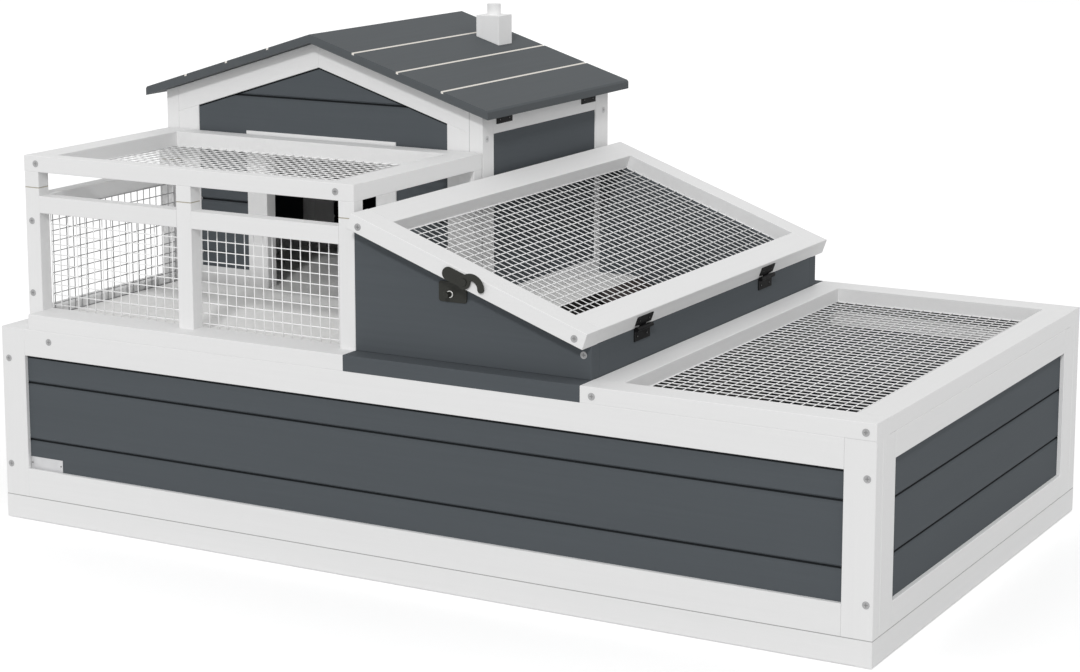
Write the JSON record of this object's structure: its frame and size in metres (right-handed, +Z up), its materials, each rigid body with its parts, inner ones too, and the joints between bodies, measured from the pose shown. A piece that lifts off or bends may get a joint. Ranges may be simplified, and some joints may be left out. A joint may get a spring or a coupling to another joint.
{
  "type": "wooden tortoise house with run",
  "caption": "Two-storey wooden tortoise house: a long ground box with a wire-lidded run and ramp, a balcony, a gabled house with a hinged roof and a hutch under a sloping wire lid.",
  "frame": {"origin": "centre of the footprint, on the ground the plinth stands on", "axes": "+X to the right along the long front, +Y from the front to the back, +Z up"},
  "size_m": [1.1, 0.64, 0.5808],
  "materials": {
    "white_paint": "white painted, satin",
    "grey_paint": "dark grey painted, satin",
    "deck_wood": "pale grey washed",
    "black_metal": "satin black",
    "olive_metal": "satin, near black",
    "zinc_wire": "galvanised"
  },
  "bodies": {
    "house": {"back_wall_frame": "white_paint", "back_wall_planks": "grey_paint", "balcony_front_net": "zinc_wire", "balcony_front_rails": "white_paint", "balcony_left_net": "zinc_wire", "balcony_posts": "white_paint", "balcony_side_rails": "white_paint", "balcony_sill": "white_paint", "deck_boards": "deck_wood", "deck_cleats": "deck_wood", "doorway_head": "white_paint", "doorway_jambs": "white_paint", "floor_cleats": "deck_wood", "floor_panel": "deck_wood", "front_wall_frame": "white_paint", "front_wall_planks": "grey_paint", "house_back_frame": "white_paint", "house_back_planks": "grey_paint", "house_front_frame": "white_paint", "house_front_planks": "grey_paint", "house_left_frame": "white_paint", "house_left_planks": "grey_paint", "house_right_frame": "white_paint", "house_right_planks": "grey_paint", "hutch_back_panel": "grey_paint", "hutch_front_panel": "grey_paint", "hutch_right_panel": "grey_paint", "hutch_sills": "grey_paint", "latch_keeper": "olive_metal", "left_wall_frame": "white_paint", "left_wall_planks": "grey_paint", "lid_hinge_fixed_leaves": "black_metal", "lid_hinge_pins": "black_metal", "middle_beam": "deck_wood", "plinth_back": "white_paint", "plinth_front": "white_paint", "plinth_sides": "white_paint", "ramp_board": "deck_wood", "ramp_treads": "deck_wood", "right_wall_frame": "white_paint", "right_wall_planks": "grey_paint", "roof_hinge_fixed_leaves": "black_metal", "roof_hinge_pins": "black_metal"},
    "roof": {"roof_left_boards": "grey_paint", "roof_right_boards": "grey_paint", "roof_cleats": "deck_wood", "chimney_block": "white_paint", "chimney_cap": "white_paint", "roof_hinge_moving_leaves": "black_metal"},
    "sloping_lid": {"sloping_lid_frame": "white_paint", "sloping_lid_net": "zinc_wire", "lid_hinge_moving_leaves": "black_metal", "latch_plate": "olive_metal", "latch_rivet": "olive_metal"},
    "latch_lever": {"latch_lever": "olive_metal"},
    "flat_lid": {"flat_lid_frame": "white_paint", "flat_lid_net": "zinc_wire"},
    "balcony_lid": {"balcony_lid_frame": "white_paint", "balcony_lid_legs": "white_paint", "balcony_lid_net": "zinc_wire"}
  },
  "joints": [
    {"name": "roof_hinge", "type": "hinge", "parent": "house", "child": "roof", "pos_m": [-0.0667, 0.141, 0.47491], "axis": [0, 1, 0], "range_deg": [0, 90]},
    {"name": "sloping_lid_hinge", "type": "hinge", "parent": "house", "child": "sloping_lid", "pos_m": [0.2253, -0.0275, 0.28483], "axis": [0, 1, 0], "range_deg": [0, 110]},
    {"name": "latch_turn", "type": "hinge", "parent": "sloping_lid", "child": "latch_lever", "pos_m": [0.08196, -0.3175, 0.34376], "axis": [0, 1, 0], "range_deg": [0, 75]},
    {"name": "flat_lid_lift", "type": "slide", "parent": "house", "child": "flat_lid", "axis": [0, 0, 1], "range_m": [0, 0.02]},
    {"name": "balcony_lid_lift", "type": "slide", "parent": "house", "child": "balcony_lid", "axis": [0, 0, 1], "range_m": [0, 0.03]}
  ]
}
